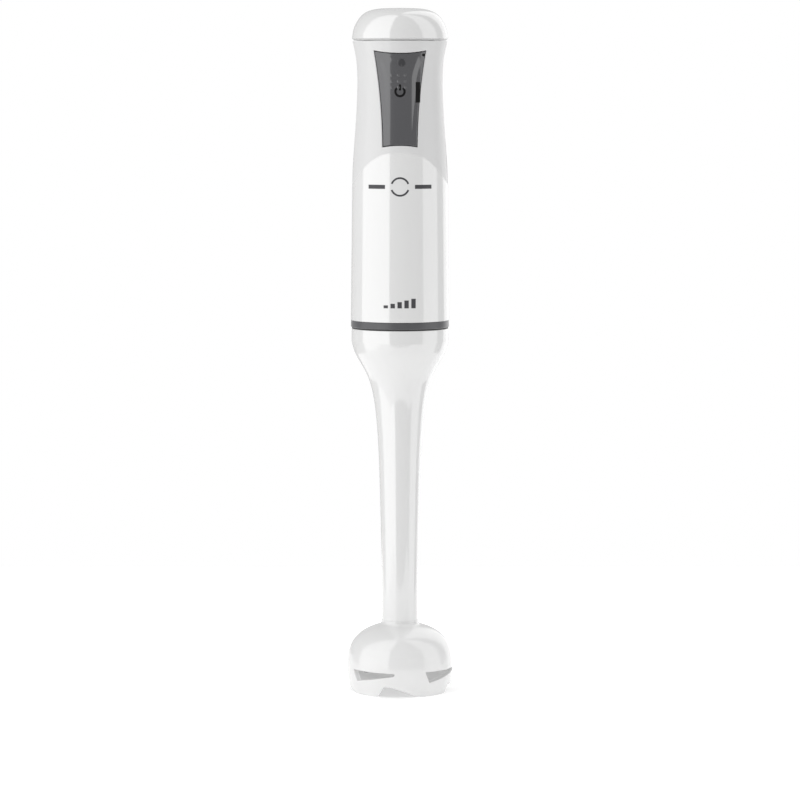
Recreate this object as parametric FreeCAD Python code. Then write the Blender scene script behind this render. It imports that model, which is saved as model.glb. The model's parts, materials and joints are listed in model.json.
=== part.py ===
"""Immersion blender: a motor unit that twists off a slim mixing foot with a bell-shaped blade guard.

Frame: millimetres, +Z up along the drive axis, origin on the axis at the plane of the guard's feet.
The switch panel faces -Y.  Every piece is written as parts/NODE.step in its place at rest.
"""
import FreeCAD
import Part
import math
import os
from FreeCAD import Vector

UP = Vector(0, 0, 1)
BACK = Vector(0, 1, 0)
RIGHT = Vector(1, 0, 0)

# ---------------------------------------------------------------- driving sizes
# overall heights
foot_height = 203.2
ring_height = 3.9
gasket_thickness = 0.7
housing_height = 154.0
cap_gap = 0.4
cap_height = 17.8

# clearances
snug = 0.05          # between pieces that are pressed or glued together
running = 0.05       # shaft in a bush, radially
free = 0.4           # between moving pieces that don't guide each other

# bell-shaped blade guard
guard_radius = 29.4
guard_widest_z = 15.0
guard_rim_radius = 27.6
guard_height = 43.2
guard_wall = 2.2
guard_feet = 4
notch_rise = 5.6
slot_length = 25.6
slot_low_z = 7.0
slot_high_z = 14.0
slot_tip_z = 12.7
slot_tip_radius = 0.9
slot_middle_angle = -33.5
hub_radius = 9.5
hub_top_radius = 12.3
hub_bottom_z = 19.5

# foot tube
tube_radius = 10.0
tube_bore = 7.4
tube_socket_depth = 10.0
shoulder_radius = 26.9
shoulder_height = 7.0
funnel_wall = 3.2

# bayonet between foot and motor unit
collar_disc = 3.5
collar_drop = 8.0
collar_radius = 24.2
spigot_radius = 19.0
spigot_wall = 2.7
spigot_rise = 14.8
lug_count = 3
lug_radius = 1.8
lug_reach = 2.2
lug_rise = 10.8
lug_angle = 90.0
lug_play = 0.25
twist = 60.0
twist_lift = 6.0

# drive line
blade_shaft_radius = 2.5
bush_radius = 5.5
bush_length = 8.0
seal_radius = 6.0
seal_height = 5.0
blade_reach = 20.5
blade_thickness = 1.3
blade_z = 12.0
blade_root = 6.2
dog_radius = 5.2
dog_height = 13.0
dog_cup_radius = 8.6

# motor unit housing
body_radius = 27.3
crease_radius = 26.45
waist_radius = 23.5
crown_radius = 26.2
body_wall = 2.6
crease_drop = 79.5   # from the cap's seam down to where barrel and grip meet at the sides
arch_rise = 18.1     # how far the barrel rises over the grip at the front
ring_radius = 27.2

# motor
rotor_shaft_radius = 3.0
armature_radius = 12.9
air_gap = 0.5
stack_height = 30.0
stator_radius = 23.3
yoke_width = 3.7
fan_radius = 17.6
fan_height = 7.0
commutator_radius = 9.0
commutator_height = 12.5
bearing_radius = 8.0
bearing_height = 5.5
bolt_radius = 1.3
bolt_circle = 21.4

# switch panel
panel_top_half = 14.5
panel_bottom_half = 9.7
panel_height = 52.8
panel_drop = 5.3
panel_gap = 0.35
panel_side_dip = 1.1
panel_top_dip = 1.4
panel_bottom_dip = 0.9
panel_base = 2.0
panel_flange = 0.8
pad_half = 6.4
pad_rise = 1.5
pin_radius = 1.0
pin_rise = 3.6

# electronics and cord entry
board_half = 11.8
board_height = 38.5
board_thickness = 1.6
board_y = -9.0
cord_bore = 3.6
grommet_radius = 5.0
grommet_flange = 6.5
grommet_seat_y = 20.4
grommet_drop = 12.0
screw_x = 16.2
screw_radius = 1.3

# ---------------------------------------------------------------- derived levels
foot_top = foot_height
ring_low = foot_top + gasket_thickness
ring_top = ring_low + ring_height
body_top = ring_top + housing_height
seam = body_top + cap_gap
total_height = seam + cap_height
crease_z = seam - crease_drop

hub_top_z = guard_height - tube_socket_depth
seal_low = hub_bottom_z + 0.2
bush_low = seal_low + seal_height + 0.2

spigot_top = foot_top + spigot_rise
lug_z = foot_top + lug_rise
groove_reach = spigot_radius + lug_reach + free
web_low = spigot_top + 1.0
web_top = web_low + 3.5

plate_top = web_top + 3.0
bearing_low = plate_top + 0.8
fan_low = plate_top + 8.5
stator_low = plate_top + 20.5
stator_top = stator_low + stack_height
commutator_low = stator_top + 8.5
brush_z = commutator_low + commutator_height / 2
top_plate_low = stator_top + 23.0
top_plate_top = top_plate_low + 3.0

panel_top = body_top - panel_drop
panel_bottom = panel_top - panel_height
pin_z = panel_bottom + pin_rise
board_top = body_top - 10.2
board_low = board_top - board_height
cord_z = body_top - grommet_drop


# ---------------------------------------------------------------- helpers
def lathe(start, *runs):
    """Solid of revolution about Z.  Each run goes on from the last (radius, z) point: one point is a
    straight line, more points are one smooth curve through them.  The outline closes by itself."""
    here = start
    edges = []
    for run in list(runs) + [[start]]:
        stops = [Vector(r, 0, z) for r, z in [here] + run]
        if len(stops) == 2:
            edges.append(Part.LineSegment(*stops).toShape())
        else:
            curve = Part.BSplineCurve()
            curve.interpolate(stops)
            edges.append(curve.toShape())
        here = run[-1]
    return Part.Face(Part.Wire(edges)).revolve(Vector(), UP, 360)


def disc(radius, low, high, x=0.0, y=0.0):
    return Part.makeCylinder(radius, high - low, Vector(x, y, low), UP)


def ring(outer, inner, low, high):
    return disc(outer, low, high).cut(disc(inner, low - 1, high + 1))


def cone(low_radius, high_radius, low, high):
    return Part.makeCone(low_radius, high_radius, high - low, Vector(0, 0, low), UP)


def rod_x(radius, left, right, y, z):
    return Part.makeCylinder(radius, right - left, Vector(left, y, z), RIGHT)


def rod_y(radius, front, back, x, z):
    return Part.makeCylinder(radius, back - front, Vector(x, front, z), BACK)


def block(x, y, z):
    return Part.makeBox(x[1] - x[0], y[1] - y[0], z[1] - z[0], Vector(x[0], y[0], z[0]))


def sector(outer, inner, low, high, middle, half):
    """Piece of a ring, centred on the angle `middle`, reaching `half` degrees each way."""
    wedge = Part.makeCylinder(outer, high - low, Vector(0, 0, low), UP, 2 * half)
    return turned(wedge.cut(disc(inner, low - 1, high + 1)), middle - half)


def turned(shape, angle, axis=UP, centre=Vector()):
    return shape.rotated(centre, axis, angle)


def around(shape, count, start=0.0):
    return [turned(shape, start + 360.0 * k / count) for k in range(count)]


def fuse(first, *others):
    return first.multiFuse(list(others)).removeSplitter()


def cut(shape, *tools):
    return shape.cut(list(tools))


def mirrored_x(shape):
    return shape.mirror(Vector(), RIGHT)


def prism(points, low, high):
    """Upright prism on a polygon of (x, y) points."""
    corners = [Vector(x, y, low) for x, y in points]
    return Part.Face(Part.makePolygon(corners + corners[:1])).extrude(UP * (high - low))


def hexagon(radius, low, high):
    points = [(radius * math.cos(math.radians(60 * k)), radius * math.sin(math.radians(60 * k)))
              for k in range(6)]
    return prism(points, low, high)


def sweep(path, radius):
    """Round wire along a path of edges."""
    spine = Part.Wire(path)
    start = spine.Edges[0]
    way = start.tangentAt(start.FirstParameter)
    circle = Part.Wire(Part.makeCircle(radius, start.valueAt(start.FirstParameter), way))
    return spine.makePipeShell([circle], True, True)


# ---------------------------------------------------------------- the motor unit's outer shape
def unit_core(inset):
    """The motor unit's shape of revolution, made smaller by `inset`: tapered barrel, waisted grip."""
    return lathe((0, ring_top - 1),
                 [(body_radius - inset, ring_top - 1)],
                 [(crease_radius - inset, crease_z)],
                 [(waist_radius + 1.3 - inset, seam - 50.6),
                  (waist_radius - inset, seam - 24.0),
                  (waist_radius + 0.65 - inset, seam - 10.4),
                  (crown_radius - inset, body_top)],
                 [(0, body_top)])


def unit_outside():
    """Outer shape: the barrel rises over the grip in an arch, round in the front view."""
    arch_radius = (crease_radius ** 2 + arch_rise ** 2) / (2 * arch_rise)
    arch_top = crease_z + arch_rise
    barrel = lathe((0, crease_z), [(crease_radius + 0.05, crease_z)], [(crease_radius - 0.2, arch_top)],
                   [(0, arch_top)])
    arch = rod_y(arch_radius, -body_radius - 5, body_radius + 5, 0, arch_top - arch_radius)
    return unit_core(0).fuse(barrel.common(arch))


def panel_outline(grow):
    """Prism along Y on the switch panel's outline: a trapezium with hollow sides and bowed ends."""
    left_top = Vector(-panel_top_half - grow, 0, panel_top + grow)
    right_top = Vector(panel_top_half + grow, 0, panel_top + grow)
    left_low = Vector(-panel_bottom_half - grow, 0, panel_bottom - grow)
    right_low = Vector(panel_bottom_half + grow, 0, panel_bottom - grow)
    side_x = (panel_top_half + panel_bottom_half) / 2 - panel_side_dip + grow
    side_z = (panel_top + panel_bottom) / 2
    edges = [Part.Arc(left_top, Vector(0, 0, panel_top + grow - panel_top_dip), right_top),
             Part.Arc(right_top, Vector(side_x, 0, side_z), right_low),
             Part.Arc(right_low, Vector(0, 0, panel_bottom - grow + panel_bottom_dip), left_low),
             Part.Arc(left_low, Vector(-side_x, 0, side_z), left_top)]
    face = Part.Face(Part.Wire([edge.toShape() for edge in edges]))
    solid = face.extrude(BACK * -(body_radius + 5))
    corners = [edge for edge in solid.Edges
               if len(edge.Vertexes) == 2 and abs(edge.tangentAt(edge.FirstParameter).y) > 0.99]
    return solid.makeFillet(1.0 + grow, corners)


# ---------------------------------------------------------------- foot
def guard_notch():
    """Cutter for the dip between two feet of the rim: steep on the left, an easy slope on the right."""
    low = -3.0
    left = guard_rim_radius * math.sin(math.radians(-28))
    right = guard_rim_radius * math.sin(math.radians(30))
    points = [Vector(left - 1.2, -50, low), Vector(left, -50, 0), Vector(left * 0.72, -50, notch_rise * 0.72),
              Vector(left * 0.52, -50, notch_rise), Vector(left * 0.2, -50, notch_rise * 0.97),
              Vector(right * 0.45, -50, notch_rise * 0.5), Vector(right, -50, 0), Vector(right, -50, low)]
    dip = Part.BSplineCurve()
    dip.interpolate(points[3:7])
    edges = [Part.LineSegment(points[k], points[k + 1]).toShape() for k in (0, 1, 2, 6)]
    edges.insert(3, dip.toShape())
    edges.append(Part.LineSegment(points[7], points[0]).toShape())
    face = Part.Face(Part.Wire(edges))
    return face.extrude(BACK * (50 - guard_rim_radius * 0.55))


def guard_slot():
    """Cutter for one wedge-shaped flow slot, tall on its left, with a round tip on its right."""
    left = -slot_length / 2
    right = slot_length / 2 - slot_tip_radius
    top_tip = Vector(right, -50, slot_tip_z + slot_tip_radius)
    low_tip = Vector(right, -50, slot_tip_z - slot_tip_radius)
    end_tip = Vector(right + slot_tip_radius, -50, slot_tip_z)
    high = Vector(left, -50, slot_high_z)
    low = Vector(left + 2.4, -50, slot_low_z)
    edges = [Part.LineSegment(high, top_tip).toShape(), Part.Arc(top_tip, end_tip, low_tip).toShape(),
             Part.LineSegment(low_tip, low).toShape(), Part.LineSegment(low, high).toShape()]
    face = Part.Face(Part.Wire(edges))
    return turned(face.extrude(BACK * (50 - guard_radius * 0.55)), slot_middle_angle)


def bell_guard():
    wall = guard_wall
    shell = lathe((0, 0), [(guard_rim_radius, 0)], [(guard_radius, guard_widest_z)],
                  [(guard_radius - 0.9, 22.6), (guard_radius - 2.4, 26.5), (guard_radius - 4.9, 30.0),
                   (guard_radius - 8.4, 33.0), (guard_radius - 12.7, 35.3), (guard_radius - 16.8, 36.8)],
                  [(tube_radius + 1.2, 37.9), (tube_radius + 0.6, 39.6), (tube_radius + 0.45, guard_height)],
                  [(0, guard_height)])
    inner = guard_radius - wall
    hollow = lathe((0, -1), [(guard_rim_radius - wall, -1)], [(guard_rim_radius - wall, 0)],
                   [(inner, guard_widest_z)],
                   [(inner - 1.0, 21.8), (inner - 2.9, 26.2), (inner - 6.4, 29.8), (inner - 11.0, 32.3),
                    (inner - 15.0, 33.9)],
                   [(0, 33.9)])
    hub = cone(hub_radius, hub_top_radius, hub_bottom_z, 34.8)
    body = fuse(shell.cut(hollow), hub)
    cuts = [disc(tube_radius + snug, hub_top_z, guard_height + 1),
            disc(bush_radius + snug, bush_low, hub_top_z + 1),
            disc(seal_radius + snug, hub_bottom_z - 1, bush_low)]
    cuts += around(guard_notch(), guard_feet)
    cuts += around(guard_slot(), guard_feet)
    return cut(body, *cuts)


def foot_tube():
    """Slim tube that widens into a funnel; its top carries the bayonet collar."""
    top = foot_top
    outer = lathe((0, hub_top_z), [(tube_radius, hub_top_z)], [(tube_radius, 50)],
                  [(tube_radius + 0.8, 96), (tube_radius + 1.75, 129.6), (tube_radius + 3.1, top - 51.4),
                   (tube_radius + 5.5, top - 34.8), (shoulder_radius - 7.5, top - 23.7),
                   (shoulder_radius - 4.3, top - 18.1), (shoulder_radius - 1.5, top - 12.6),
                   (shoulder_radius, top - shoulder_height)],
                  [(shoulder_radius + 0.1, top)], [(0, top)])
    ledge = top - collar_drop
    bore = lathe((0, hub_top_z - 1), [(tube_bore, hub_top_z - 1)], [(tube_bore, 60)],
                 [(tube_bore + 1.2, 129.6), (tube_bore + 2.9, top - 46.0), (tube_bore + 6.6, top - 28.0),
                  (shoulder_radius - funnel_wall - 2.6, ledge - 4.0),
                   (shoulder_radius - funnel_wall - 1.9, ledge)],
                 [(0, ledge)])
    seat = disc(collar_radius + snug, ledge, top + 1)
    return cut(outer, bore, seat)


def foot_collar():
    """Bayonet collar: a seated disc with the upper bush's hub and a spigot with lugs."""
    low = foot_top - collar_drop
    disc_top = low + collar_disc
    hub_low = low - 8.0
    body = fuse(disc(collar_radius, low, disc_top),
                ring(collar_radius, collar_radius - 1.6, disc_top - 0.1, foot_top),
                ring(spigot_radius, spigot_radius - spigot_wall, disc_top - 0.1, spigot_top),
                disc(bush_radius + 2.6, hub_low, low + 0.1))
    lug = Part.makeCylinder(lug_radius, lug_reach + 1.0, Vector(spigot_radius - 1.0, 0, lug_z), RIGHT)
    body = fuse(body, *around(lug, lug_count, lug_angle))
    return cut(body, disc(bush_radius + snug, hub_low - 1, hub_low + bush_length),
               disc(blade_shaft_radius + 1.2, hub_low, disc_top + 1))


def upper_bush():
    low = foot_top - collar_drop - 8.0
    return ring(bush_radius, blade_shaft_radius + running, low, low + bush_length)


def lower_bush():
    return ring(bush_radius, blade_shaft_radius + running, bush_low, bush_low + bush_length - 0.2)


def shaft_seal():
    """Rubber lip seal: a thick ring with a thinner lip towards the blade."""
    body = ring(seal_radius, blade_shaft_radius + running, seal_low, seal_low + seal_height)
    return cut(body, ring(seal_radius - 1.2, blade_shaft_radius + 1.0, seal_low - 1, seal_low + 2.4))


# ---------------------------------------------------------------- blade and its shaft
def blade_shaft():
    return disc(blade_shaft_radius, blade_z - 3.0, foot_top + 4.3)


def blade():
    """Two swept wings on a centre disc, one tilted up and one down, with a ground leading edge."""
    def wing(tilt):
        start = blade_root - 1.0
        points = [(start, -3.2), (11.0, -5.2), (16.5, -3.6), (blade_reach, 0.4), (blade_reach - 1.6, 3.0),
                  (13.0, 3.4), (8.0, 4.2), (start, 3.2)]
        plate = prism(points, blade_z, blade_z + blade_thickness)
        return turned(plate, -tilt, BACK, Vector(blade_root, 0, blade_z + blade_thickness / 2))

    body = fuse(disc(blade_root, blade_z, blade_z + blade_thickness), wing(14.0), turned(wing(-9.0), 180))
    return cut(body, disc(blade_shaft_radius + snug, blade_z - 2, blade_z + 4))


def blade_hub():
    low = blade_z + blade_thickness
    flare = cone(blade_root - 1.2, 4.4, low, low + 1.6)
    return cut(fuse(disc(4.4, low, low + 4.6), flare), disc(blade_shaft_radius + snug, low - 1, low + 6))


def blade_nut():
    """Domed nut that holds the blade on its shaft."""
    low = blade_z - 4.6
    dome = Part.makeSphere(5.0, Vector(0, 0, low + 5.0)).common(disc(4.6, low, blade_z))
    nut = dome.common(hexagon(4.9, low, blade_z))
    return cut(nut, disc(blade_shaft_radius + snug, blade_z - 3.0, blade_z + 1))


def thrust_washer():
    low = blade_z + blade_thickness + 4.6
    return ring(4.8, blade_shaft_radius + snug, low, low + 0.8)


def shaft_clip():
    low = bush_low + bush_length + 0.3
    return cut(ring(5.2, blade_shaft_radius + snug, low, low + 0.8),
               block((0, 8), (-1.6, 1.6), (low - 1, low + 2)))


def foot_coupling():
    """Six-sided drive dog on top of the blade shaft."""
    low = foot_top - collar_drop + collar_disc + 1.2
    high = low + dog_height
    flange = disc(dog_radius + 2.4, low, low + 1.6)
    return cut(fuse(hexagon(dog_radius, low, high), flange),
               disc(blade_shaft_radius + snug, low - 1, foot_top + 4.4))


# ---------------------------------------------------------------- joint
def joint_gasket():
    return ring(ring_radius - 0.5, collar_radius - 1.4, foot_top, ring_low)


def lug_track():
    """Cutter for one helical bayonet track, with its open mouth at the lower end."""
    steepness = twist_lift / twist
    over = math.degrees((lug_radius + lug_play) / spigot_radius)
    rise = steepness * (twist + over)
    start_z = lug_z - twist_lift
    half = (lug_radius + lug_play) / math.cos(math.atan(steepness * 180 / math.pi / spigot_radius))
    inner = spigot_radius - 0.5
    helix = Part.makeHelix(steepness * 360, rise, inner)
    corners = [Vector(inner, 0, -half), Vector(groove_reach, 0, -half),
               Vector(groove_reach, 0, half), Vector(inner, 0, half)]
    profile = Part.makePolygon(corners + corners[:1])
    track = Part.Wire(helix.Edges).makePipeShell([profile], True, True)
    track.translate(Vector(0, 0, start_z))
    mouth = sector(groove_reach + 0.2, inner - 0.2, ring_low - 1, start_z + half * 0.9, 0, over)
    return [turned(piece, lug_angle - twist) for piece in (track, mouth)]


def coupling_socket():
    """Dark insert that closes the motor unit: visible ring, bayonet bore and bearing web."""
    rim = lathe((0, ring_low), [(ring_radius - 0.35, ring_low)], [(ring_radius, ring_low + 0.35)],
                [(ring_radius, ring_top - 0.35)], [(ring_radius - 0.35, ring_top)], [(0, ring_top)])
    body = fuse(rim, disc(body_radius - body_wall - 0.35, ring_top - 0.3, plate_top))
    cuts = [disc(spigot_radius + free, ring_low - 1, web_low),
            disc(dog_cup_radius + 1.4, web_low - 1, web_top + 1),
            disc(bolt_circle + 1.7, web_top, plate_top + 1)]
    body = cut(body, *cuts)
    for turn in range(lug_count):
        for tool in lug_track():
            body = body.cut(turned(tool, 360.0 * turn / lug_count))
    return body


# ---------------------------------------------------------------- motor
def bearing(low):
    """Ball bearing: two races and a ring of balls."""
    middle = low + bearing_height / 2
    ball = Part.makeSphere(1.1, Vector(5.55, 0, middle))
    groove = Part.makeTorus(5.55, 1.16, Vector(0, 0, middle), UP)
    outer_race = ring(bearing_radius, 6.3, low, low + bearing_height).cut(groove)
    inner_race = ring(4.8, rotor_shaft_radius + running, low, low + bearing_height).cut(groove)
    return Part.makeCompound([outer_race, inner_race] + around(ball, 8))


def bearing_seat(low, high):
    return ring(bearing_radius + 2.0, bearing_radius + snug, low, high)


def lower_bracket():
    """Plate in the coupling socket, with a bearing seat and four legs that carry the stator."""
    plate_radius = bolt_circle + 1.7 - snug
    plate = disc(plate_radius, web_top, bearing_low)
    plate = cut(plate, disc(5.0, web_top - 1, bearing_low + 1),
                ring(plate_radius + 1, bearing_radius + 2.0, plate_top, bearing_low + 1))
    leg = sector(plate_radius, plate_radius - 2.8, plate_top - 0.1, stator_low, 45, 9)
    body = fuse(plate, bearing_seat(bearing_low - 0.1, bearing_low + bearing_height + 0.5), *around(leg, 4))
    bolts = [disc(bolt_radius + snug, web_top - 1, stator_low + 1, 0, side * bolt_circle) for side in (-1, 1)]
    return cut(body, *bolts)


def upper_bracket():
    """Ring on the stator, four posts and a plate with the upper bearing and the brush hangers."""
    base_low = stator_top
    base_top = base_low + 3.4
    base = ring(bolt_circle + 1.8, stator_radius - yoke_width + 0.2, base_low, base_top)
    post = sector(bolt_circle + 0.2, stator_radius - yoke_width + 0.2,
                  base_top - 0.1, top_plate_low + 0.1, 45, 9)
    plate = disc(bolt_circle + 0.2, top_plate_low, top_plate_top)
    seat = bearing_seat(top_plate_top - 0.1, top_plate_top + bearing_height + 0.6)
    hanger = block((16.0, 20.5), (-3.0, 3.0), (brush_z + 4.2, top_plate_low + 0.1))
    body = fuse(base, plate, seat, hanger, mirrored_x(hanger), *around(post, 4))
    cuts = [disc(bearing_radius - 1.6, top_plate_low - 1, top_plate_top + 1)]
    for side in (-1, 1):
        cuts.append(disc(bolt_radius + snug, base_low - 1, base_top + 1, 0, side * bolt_circle))
        cuts.append(disc(1.4, top_plate_low - 1, top_plate_top + 1, side * 13.5, 0))
    return cut(body, *cuts)


def damping_ring():
    """Rubber ring between the upper bracket and the housing."""
    band = ring(body_radius, bolt_circle + 0.2 + snug, top_plate_low - 0.4, top_plate_top - 0.4)
    return band.common(unit_core(body_wall + 2 * snug))


def stator_core():
    """Laminated stack with two poles and room for the field coils."""
    body = ring(stator_radius, stator_radius - yoke_width, stator_low, stator_top)
    bore = armature_radius + air_gap
    pole = sector(stator_radius - yoke_width + 0.2, bore, stator_low, stator_top, 0, 44)
    bolts = [disc(bolt_radius + 0.1, stator_low - 1, stator_top + 1, 0, side * bolt_circle)
             for side in (-1, 1)]
    return cut(fuse(body, pole, turned(pole, 180)), *bolts)


def field_coils():
    """Two saddle coils, one round each pole."""
    inner = armature_radius + air_gap + 0.6
    outer = stator_radius - yoke_width - 0.4
    low = stator_low - 4.2
    high = stator_top + 4.2
    legs = [sector(outer, inner, low, high, side * 54.5, 8.5) for side in (-1, 1)]
    ends = [sector(outer, inner, low, stator_low - 0.3, 0, 60),
            sector(outer, inner, stator_top + 0.3, high, 0, 60)]
    coil = fuse(legs[0], legs[1], *ends)
    return Part.makeCompound([coil, turned(coil, 180)])


def armature_shaft():
    return disc(rotor_shaft_radius, foot_top + 11.4, top_plate_top + bearing_height + 1.6)


def armature_core():
    """Laminated rotor with twelve winding slots."""
    body = ring(armature_radius, rotor_shaft_radius + snug, stator_low, stator_top)
    mouth = (armature_radius - 1.4, armature_radius + 1)
    slot = fuse(block(mouth, (-0.6, 0.6), (stator_low - 1, stator_top + 1)),
                disc(1.3, stator_low - 1, stator_top + 1, armature_radius - 2.6, 0))
    return cut(body, *around(slot, 12))


def armature_windings():
    """End turns of the rotor's windings, above and below the stack."""
    lower = lathe((rotor_shaft_radius + 1.2, stator_low - 0.05), [(11.6, stator_low - 0.05)],
                  [(11.2, stator_low - 3.0), (8.6, stator_low - 4.5),
                   (rotor_shaft_radius + 1.2, stator_low - 4.8)])
    upper = lathe((rotor_shaft_radius + 1.2, stator_top + 0.05), [(11.6, stator_top + 0.05)],
                  [(11.2, stator_top + 4.0), (9.4, stator_top + 6.8),
                   (rotor_shaft_radius + 1.2, stator_top + 8.2)])
    return Part.makeCompound([lower, upper])


def commutator():
    body = ring(commutator_radius, rotor_shaft_radius + snug,
                commutator_low, commutator_low + commutator_height)
    gap = block((commutator_radius - 1.0, commutator_radius + 1), (-0.2, 0.2),
                (commutator_low + 1.0, commutator_low + commutator_height + 1))
    return cut(body, *around(gap, 24))


def fan():
    """Cooling fan: a disc with ten curved blades and a hub."""
    hub = disc(6.5, fan_low, fan_low + fan_height)
    plate = disc(fan_radius, fan_low, fan_low + 1.4)
    vane = turned(block((5.5, fan_radius - 0.4), (-0.6, 0.6), (fan_low + 1.3, fan_low + fan_height)), 22, UP,
                  Vector(11, 0, 0))
    vane = vane.common(disc(fan_radius - 0.2, fan_low, fan_low + fan_height + 1))
    return cut(fuse(hub, plate, *around(vane, 10)), disc(rotor_shaft_radius + snug, fan_low - 1, fan_low + 9))


def motor_coupling():
    """Cup with a six-sided bore on the rotor's lower end; the foot's dog slides in it."""
    low = foot_top + 2.4
    high = web_low + 0.4
    floor = foot_top + 11.2
    body = disc(dog_cup_radius, low, high)
    return cut(body, hexagon(dog_radius + 0.25, low - 1, floor),
               disc(rotor_shaft_radius + snug, floor - 1, high + 1))


def brush_box(side):
    """Brass guide tube of one carbon brush, closed at its outer end."""
    body = block((10.6, 21.6), (-3.4, 3.4), (brush_z - 4.1, brush_z + 4.15))
    hollow = block((10.0, 21.0), (-2.6, 2.6), (brush_z - 3.2, brush_z + 3.2))
    box = body.cut(hollow)
    return box if side > 0 else mirrored_x(box)


def brush_holders():
    return Part.makeCompound([brush_box(1), brush_box(-1)])


def carbon_brushes():
    brush = block((commutator_radius + 0.3, 16.4), (-2.5, 2.5), (brush_z - 3.1, brush_z + 3.1))
    return Part.makeCompound([brush, mirrored_x(brush)])


def brush_springs():
    helix = Part.makeHelix(1.1, 4.0, 1.9)
    coil = sweep(helix.Edges, 0.25)
    coil = turned(coil, 90, BACK)
    coil.translate(Vector(16.7, 0, brush_z))
    return Part.makeCompound([coil, mirrored_x(coil)])


def motor_bolts():
    top = stator_top + 3.4
    bolts = []
    for side in (-1, 1):
        shank = disc(bolt_radius, web_top + 0.2, top + 0.1, 0, side * bolt_circle)
        head = disc(2.0, top, top + 1.8, 0, side * bolt_circle)
        slot = block((-2.5, 2.5), (side * bolt_circle - 0.3, side * bolt_circle + 0.3), (top + 1.0, top + 3))
        bolts.append(cut(fuse(shank, head), slot))
    return Part.makeCompound(bolts)


# ---------------------------------------------------------------- housing
def panel_axis_y():
    """Y of the switch panel's pin: behind the panel base, at the pin's height."""
    return -(waist_radius + 1.5 - body_wall - panel_base - 2.0)


def housing_half(side):
    """Shell on one side of the parting plane: side -1 is the front, +1 the back."""
    shell = unit_outside().cut(unit_core(body_wall))
    depth = (-body_radius - 5, 0) if side < 0 else (0, body_radius + 5)
    return shell.common(block((-40, 40), depth, (ring_top, body_top)))


def front_housing():
    body = housing_half(-1)
    inside = unit_core(body_wall / 2)
    pin_y = panel_axis_y()
    additions = []
    for side in (-1, 1):
        ear = block((panel_bottom_half + 1.7, panel_bottom_half + 3.7), (-body_radius, pin_y + 2.4),
                    (pin_z - 3.0, pin_z + 3.0))
        boss = rod_y(3.0, -body_radius, -0.2, screw_x, pin_z + 20.5)
        for piece in (ear, boss):
            additions.append((piece if side > 0 else mirrored_x(piece)).common(inside))
    body = fuse(body, *additions)
    pilots = [rod_y(screw_radius + snug, -12.0, 1.0, side * screw_x, pin_z + 20.5) for side in (-1, 1)]
    reach = panel_bottom_half + 3.9
    pin_bore = rod_x(pin_radius + snug, -reach, reach, pin_y, pin_z)
    return cut(body, panel_outline(0), pin_bore, *pilots)


def rear_housing():
    body = housing_half(1)
    inside = unit_core(body_wall / 2)
    screw_z = pin_z + 20.5
    cord_pad = rod_y(grommet_flange + 0.7, grommet_seat_y, body_radius, 0, cord_z)
    shelf = block((-9.4, 9.4), (11.0, body_radius), (cord_z - 6.4, cord_z - 4.4))
    additions = [cord_pad, shelf]
    additions += [disc(2.3, cord_z - 5, cord_z + 3.2, side * 6.9, 14.5) for side in (-1, 1)]
    additions += [rod_y(3.7, 0, body_radius, side * screw_x, screw_z) for side in (-1, 1)]
    additions += [rod_y(2.4, board_y + board_thickness, body_radius, 0, board_low + rise)
                  for rise in (6.0, 22.0)]
    body = fuse(body, *[piece.common(inside) for piece in additions])
    cuts = [rod_y(grommet_radius + snug, 10, 40, 0, cord_z),
            rod_y(grommet_flange + snug, 10, grommet_seat_y, 0, cord_z)]
    cuts += [rod_y(screw_radius + 0.3, -1, 40, side * screw_x, screw_z) for side in (-1, 1)]
    cuts += [rod_y(2.9, 9.0, 40, side * screw_x, screw_z) for side in (-1, 1)]
    cuts += [rod_y(0.9 + snug, -12, 0, 0, board_low + rise) for rise in (6.0, 22.0)]
    cuts += [disc(0.9 + snug, cord_z - 3.4, cord_z + 4, side * 6.9, 14.5) for side in (-1, 1)]
    vent = fuse(block((-7.5, 7.5), (10, 40), (-0.9, 0.9)),
                rod_y(0.9, 10, 40, -7.5, 0), rod_y(0.9, 10, 40, 7.5, 0))
    for row in range(5):
        for column in (-1, 1):
            slot = turned(vent, column * 24)
            slot.translate(Vector(0, 0, fan_low - 2.0 + 3.6 * row))
            cuts.append(slot)
    return cut(body, *cuts)


def top_cap():
    """Domed cap with a shallow skirt that snaps into the top of the housing."""
    radius = crown_radius + 0.45
    dome = lathe((0, seam), [(radius - 0.25, seam)], [(radius, seam + 0.8)],
                 [(radius - 0.9, seam + 5.8), (radius - 2.9, seam + 10.4), (radius - 6.6, seam + 14.7),
                  (radius - 12.0, seam + 17.0), (radius - 18.5, total_height - 0.15), (0, total_height)])
    inner = radius - 2.6
    hollow = lathe((0, seam - 1), [(inner, seam - 1)], [(inner, seam + 0.8)],
                   [(inner - 1.0, seam + 5.4), (inner - 3.0, seam + 9.4), (inner - 7.0, seam + 12.8),
                    (inner - 12.0, seam + 14.4), (0, total_height - 2.8)])
    dome = dome.cut(hollow)
    skirt_radius = waist_radius - 1.2
    land = ring(inner + 0.5, skirt_radius - 1.6, seam, seam + 1.6)
    skirt = ring(skirt_radius, skirt_radius - 1.6, body_top - 3.4, seam + 0.1)
    return fuse(dome, land, skirt)


def raised_pad():
    """Middle of the panel that stands proud of it, most near the upper end, where it is also wider."""
    low = panel_bottom + 4.0
    high = panel_top - 3.0
    core = lathe((0, low), [(waist_radius + 1.3, low)],
                 [(waist_radius + 0.95, low + 14.0), (waist_radius + 1.15, low + 28.0),
                  (waist_radius + 0.1 + pad_rise, high - 9.0)],
                 [(waist_radius + 0.6, high)], [(0, high)])
    right = [(pad_half, low), (pad_half, high - 11.0), (pad_half + 3.5, high)]
    left = [(-x, z) for x, z in reversed(right)]
    return core.common(turned(prism(right + left, 0, 40), 90, RIGHT))


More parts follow.
